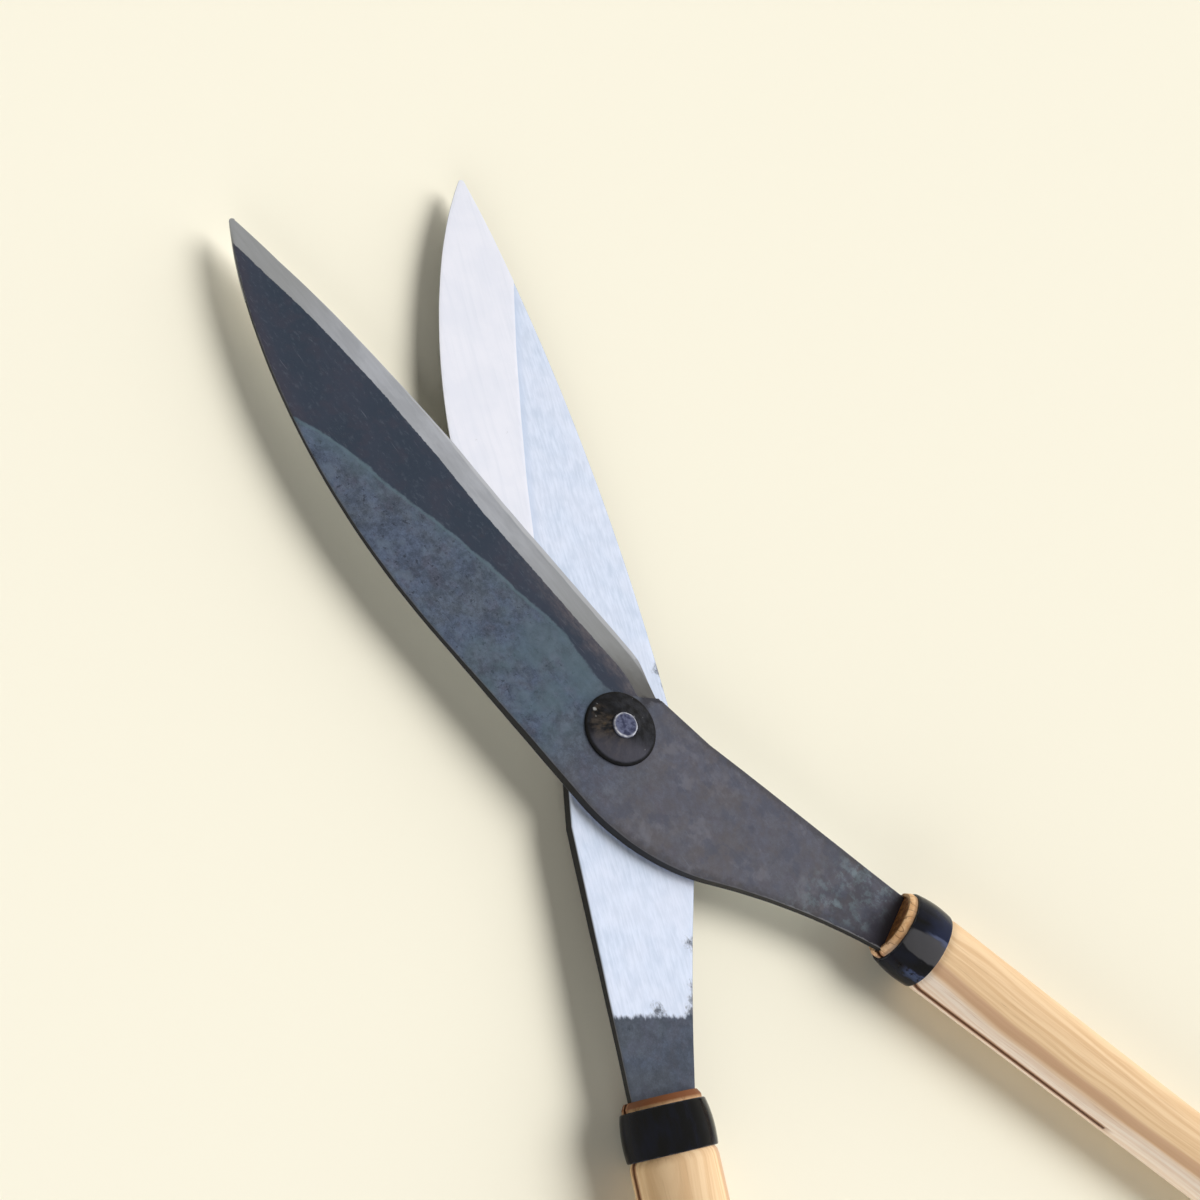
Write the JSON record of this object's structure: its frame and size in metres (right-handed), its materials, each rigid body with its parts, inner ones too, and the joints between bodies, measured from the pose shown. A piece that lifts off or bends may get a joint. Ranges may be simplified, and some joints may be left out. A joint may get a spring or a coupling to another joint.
{
  "type": "thatching shears",
  "caption": "Hand-forged shears with leaf-shaped overlapping blades on a riveted pivot pin, bent necks, steel ferrules and long wooden handles, for trimming thatch and hedges",
  "frame": {"origin": "on the pivot's axis, on the plane between the two flat inner faces", "axes": "+Z is the pivot's axis, out of the outer face of the half with the dished washer; +X points midway between the open tips; +Y completes the right-handed frame, towards the front blade"},
  "size_m": [0.8131, 0.5, 0.0339],
  "materials": {
    "forge_scale_iron": "forged iron with a dark blue-black oil band and mottled blue-grey scale",
    "ground_edge_steel": "finely ground, bright",
    "bright_iron": "flat inner face scraped bright with fine lengthwise lines, scale outside",
    "blued_ferrule": "glossy blue-black oxide",
    "handle_wood": "plain straight-grained wood, lightly sanded",
    "pin_steel": "hammered and wiped",
    "blackened_washer": "black sheet iron with rust specks"
  },
  "bodies": {
    "front_half": {"front_blade": "forge_scale_iron", "front_edge_steel": "ground_edge_steel", "front_ferrule": "blued_ferrule", "front_handle": "handle_wood", "pivot_pin": "pin_steel", "front_washer": "blackened_washer", "rear_washer": "blackened_washer"},
    "rear_half": {"rear_blade": "bright_iron", "rear_edge_steel": "ground_edge_steel", "rear_ferrule": "blued_ferrule", "rear_handle": "handle_wood"}
  },
  "joints": [
    {"name": "pivot", "type": "hinge", "parent": "front_half", "child": "rear_half", "pos_m": [0, 0, 0], "axis": [0, 0, 1], "range_deg": [-40, 24.5]}
  ]
}
